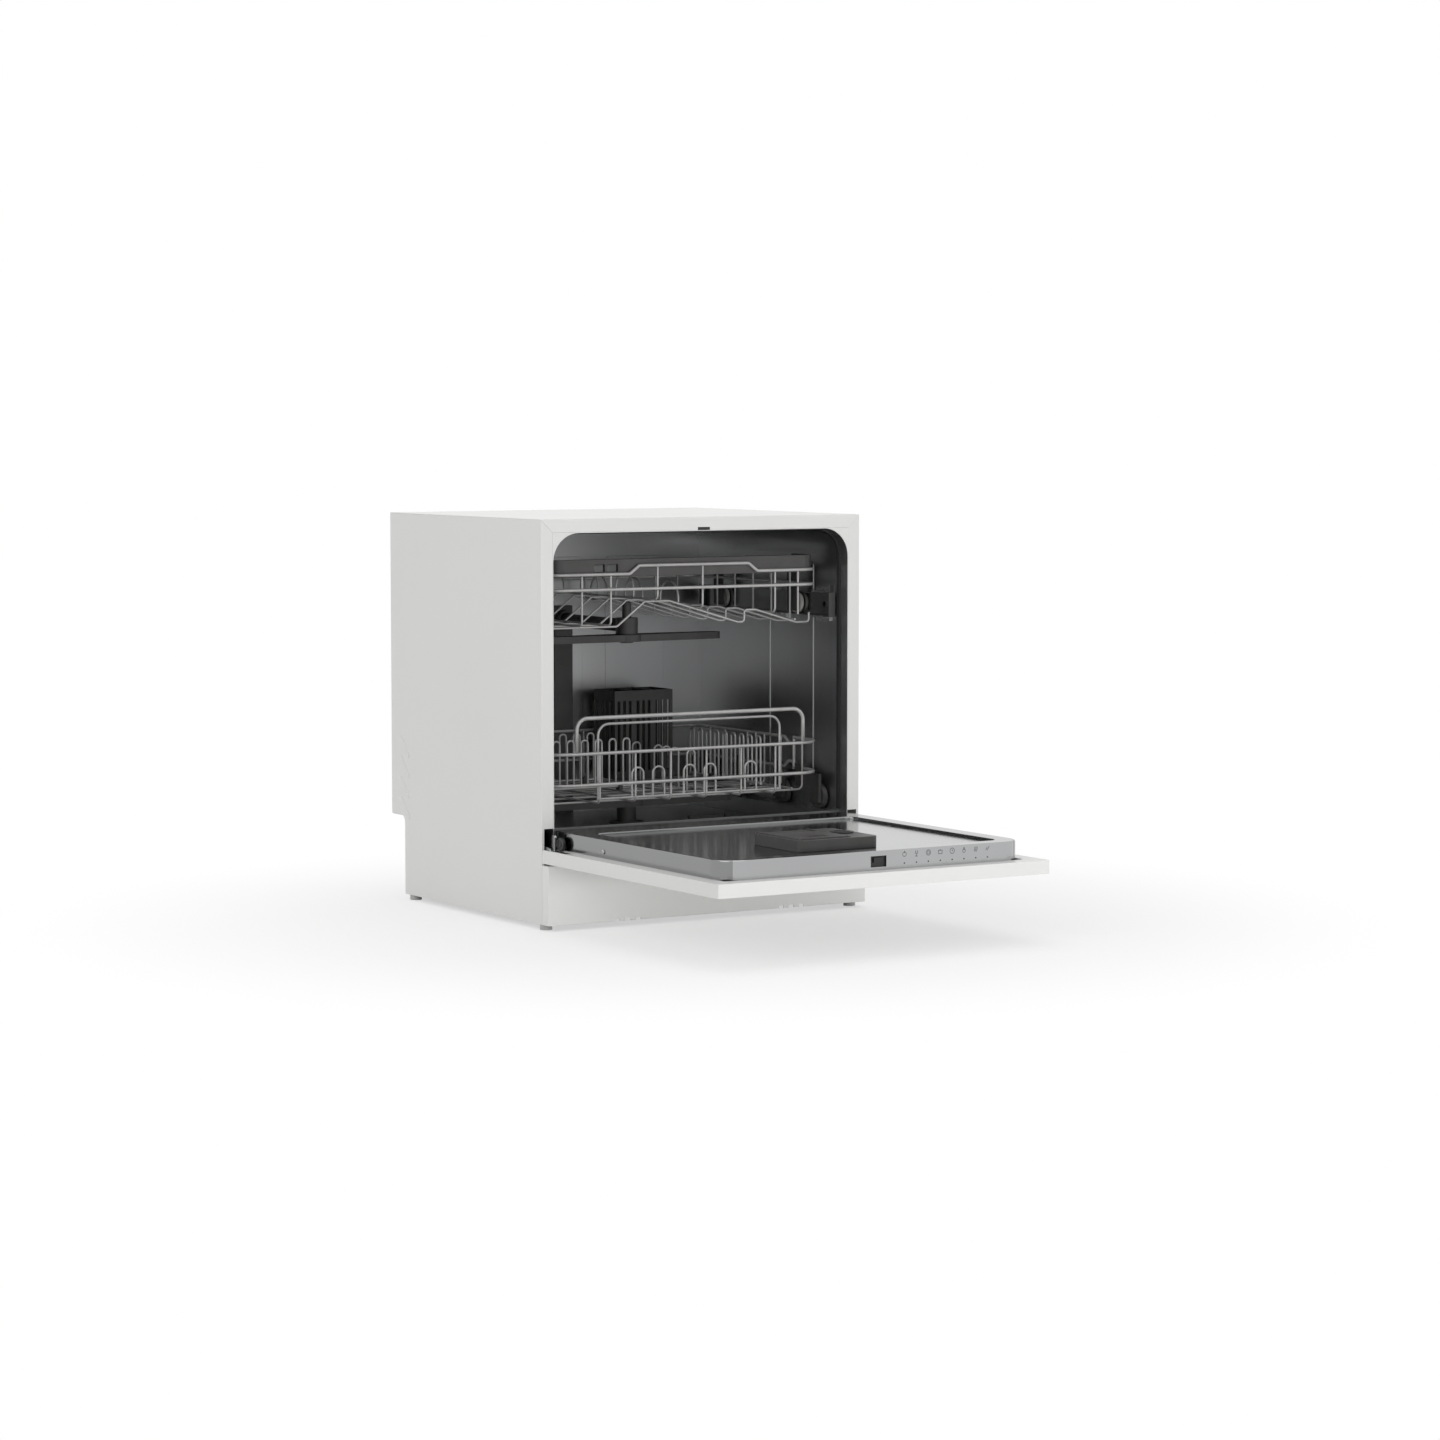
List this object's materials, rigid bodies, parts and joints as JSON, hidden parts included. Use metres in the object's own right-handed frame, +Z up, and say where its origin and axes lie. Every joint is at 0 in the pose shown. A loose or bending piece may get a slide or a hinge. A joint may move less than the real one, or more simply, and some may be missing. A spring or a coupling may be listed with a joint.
{
  "type": "countertop dishwasher",
  "caption": "Countertop dishwasher with a drop-down door, pull-out wire baskets on rails and wheels, spray arms, folding plate racks and a filter.",
  "frame": {"origin": "on the floor, below the middle of the front frame's face, close to the middle of the footprint with the door open", "axes": "+X to the machine's right as seen from the front, +Y towards its back, +Z up; the open door points along -Y"},
  "size_m": [0.55, 0.9632, 0.595],
  "materials": {
    "casing": "semi-gloss white",
    "casing_top": "satin white",
    "rear_sheet": "plain coated sheet",
    "base_plastic": "black, fine grain",
    "grey_plastic": "dark warm grey",
    "pale_plastic": "pale grey",
    "tub_steel": "brushed stainless",
    "hinge_steel": "plain steel",
    "seal_rubber": "soft black",
    "coated_wire": "light grey coating over wire"
  },
  "bodies": {
    "cabinet": {"left_side_panel": "casing", "right_side_panel": "casing", "top_panel": "casing_top", "rear_panel": "rear_sheet", "front_collar": "casing", "base_tray": "base_plastic", "plinth": "casing", "feet": "grey_plastic", "tub_shell": "tub_steel", "tub_seal": "seal_rubber", "sump": "base_plastic", "filter_plate": "hinge_steel", "spray_hub": "grey_plastic", "feed_duct": "grey_plastic", "circulation_pump": "base_plastic", "drain_pump": "base_plastic", "inlet_valve": "pale_plastic", "drain_outlet": "grey_plastic", "cable_gland": "base_plastic", "air_break": "pale_plastic", "latch_catch": "base_plastic", "hinge_brackets": "hinge_steel", "rail_guides": "hinge_steel"},
    "door": {"door_panel": "casing", "door_liner": "tub_steel", "hinge_arms": "hinge_steel", "control_unit": "base_plastic", "latch_housing": "base_plastic", "dispenser_body": "grey_plastic"},
    "latch": {"latch_tongue": "pale_plastic"},
    "detergent_lid": {"dispenser_lid": "pale_plastic"},
    "rinse_aid_cap": {"rinse_cap": "base_plastic"},
    "filter": {"filter_cylinder": "grey_plastic"},
    "lower_sprayer": {"lower_spray_arm": "grey_plastic"},
    "upper_sprayer": {"upper_spray_arm": "grey_plastic"},
    "upper_rails": {"rails": "tub_steel", "rail_ends": "grey_plastic"},
    "upper_basket": {"upper_front_wires": "coated_wire", "upper_side_wires": "coated_wire", "upper_rear_wires": "coated_wire", "upper_floor_wires": "coated_wire", "upper_handle": "grey_plastic", "roller_brackets": "grey_plastic", "upper_feed_tube": "grey_plastic"},
    "front_roller_pair": {"front_rollers": "pale_plastic"},
    "rear_roller_pair": {"rear_rollers": "pale_plastic"},
    "lower_basket": {"lower_front_wires": "coated_wire", "lower_side_wires": "coated_wire", "lower_rear_wires": "coated_wire", "lower_floor_wires": "coated_wire", "plate_guards": "coated_wire", "wheel_clips": "grey_plastic", "cutlery_basket": "grey_plastic"},
    "front_wheel_pair": {"front_wheels": "grey_plastic"},
    "second_wheel_pair": {"second_wheels": "grey_plastic"},
    "third_wheel_pair": {"third_wheels": "grey_plastic"},
    "rear_wheel_pair": {"rear_wheels": "grey_plastic"},
    "front_rack": {"front_tine_rack": "coated_wire"},
    "rear_rack": {"rear_tine_rack": "coated_wire"},
    "right_rack": {"right_tine_rack": "coated_wire"}
  },
  "joints": [
    {"name": "door_hinge", "type": "hinge", "parent": "cabinet", "child": "door", "pos_m": [0, -0.0046, 0.1134], "axis": [1, 0, 0], "range_deg": [-90, 0]},
    {"name": "latch_slide", "type": "slide", "parent": "door", "child": "latch", "axis": [0, -1, 0], "range_m": [0, 0.005]},
    {"name": "detergent_lid_slide", "type": "slide", "parent": "door", "child": "detergent_lid", "axis": [0, 1, 0], "range_m": [0, 0.03]},
    {"name": "rinse_cap_turn", "type": "hinge", "parent": "door", "child": "rinse_aid_cap", "pos_m": [0.023, -0.3352, 0.15], "axis": [0, 0, 1], "range_deg": [0, 90]},
    {"name": "upper_basket_slide", "type": "slide", "parent": "cabinet", "child": "upper_basket", "axis": [0, -1, 0], "range_m": [0, 0.25]},
    {"name": "upper_rail_slide", "type": "slide", "parent": "cabinet", "child": "upper_rails", "axis": [0, -1, 0], "range_m": [0, 0.1825]},
    {"name": "front_roller_spin", "type": "hinge", "parent": "upper_basket", "child": "front_roller_pair", "pos_m": [0, 0.125, 0.4575], "axis": [1, 0, 0], "continuous": true},
    {"name": "rear_roller_spin", "type": "hinge", "parent": "upper_basket", "child": "rear_roller_pair", "pos_m": [0, 0.34, 0.4575], "axis": [1, 0, 0], "continuous": true},
    {"name": "upper_arm_spin", "type": "hinge", "parent": "upper_basket", "child": "upper_sprayer", "pos_m": [0, 0.226, 0.405], "axis": [0, 0, 1], "continuous": true},
    {"name": "lower_basket_slide", "type": "slide", "parent": "cabinet", "child": "lower_basket", "axis": [0, -1, 0], "range_m": [0, 0.375]},
    {"name": "front_wheel_spin", "type": "hinge", "parent": "lower_basket", "child": "front_wheel_pair", "pos_m": [0, 0.067, 0.1632], "axis": [1, 0, 0], "continuous": true},
    {"name": "second_wheel_spin", "type": "hinge", "parent": "lower_basket", "child": "second_wheel_pair", "pos_m": [0, 0.17, 0.1632], "axis": [1, 0, 0], "continuous": true},
    {"name": "third_wheel_spin", "type": "hinge", "parent": "lower_basket", "child": "third_wheel_pair", "pos_m": [0, 0.288, 0.1632], "axis": [1, 0, 0], "continuous": true},
    {"name": "rear_wheel_spin", "type": "hinge", "parent": "lower_basket", "child": "rear_wheel_pair", "pos_m": [0, 0.391, 0.1632], "axis": [1, 0, 0], "continuous": true},
    {"name": "front_rack_fold", "type": "hinge", "parent": "lower_basket", "child": "front_rack", "pos_m": [-0.117, 0.196, 0.1824], "axis": [1, 0, 0], "range_deg": [-80, 0]},
    {"name": "rear_rack_fold", "type": "hinge", "parent": "lower_basket", "child": "rear_rack", "pos_m": [-0.117, 0.306, 0.1824], "axis": [1, 0, 0], "range_deg": [-80, 0]},
    {"name": "right_rack_fold", "type": "hinge", "parent": "lower_basket", "child": "right_rack", "pos_m": [0.172, 0.219, 0.1824], "axis": [0, 1, 0], "range_deg": [-80, 0]},
    {"name": "lower_arm_spin", "type": "hinge", "parent": "cabinet", "child": "lower_sprayer", "pos_m": [0, 0.228, 0.154], "axis": [0, 0, 1], "continuous": true},
    {"name": "filter_turn", "type": "hinge", "parent": "cabinet", "child": "filter", "pos_m": [0.095, 0.15, 0.12], "axis": [0, 0, 1], "range_deg": [0, 90]}
  ],
  "couplings": [
    {"joint": "upper_rail_slide", "follows": "upper_basket_slide", "ratio": 0.73}
  ]
}
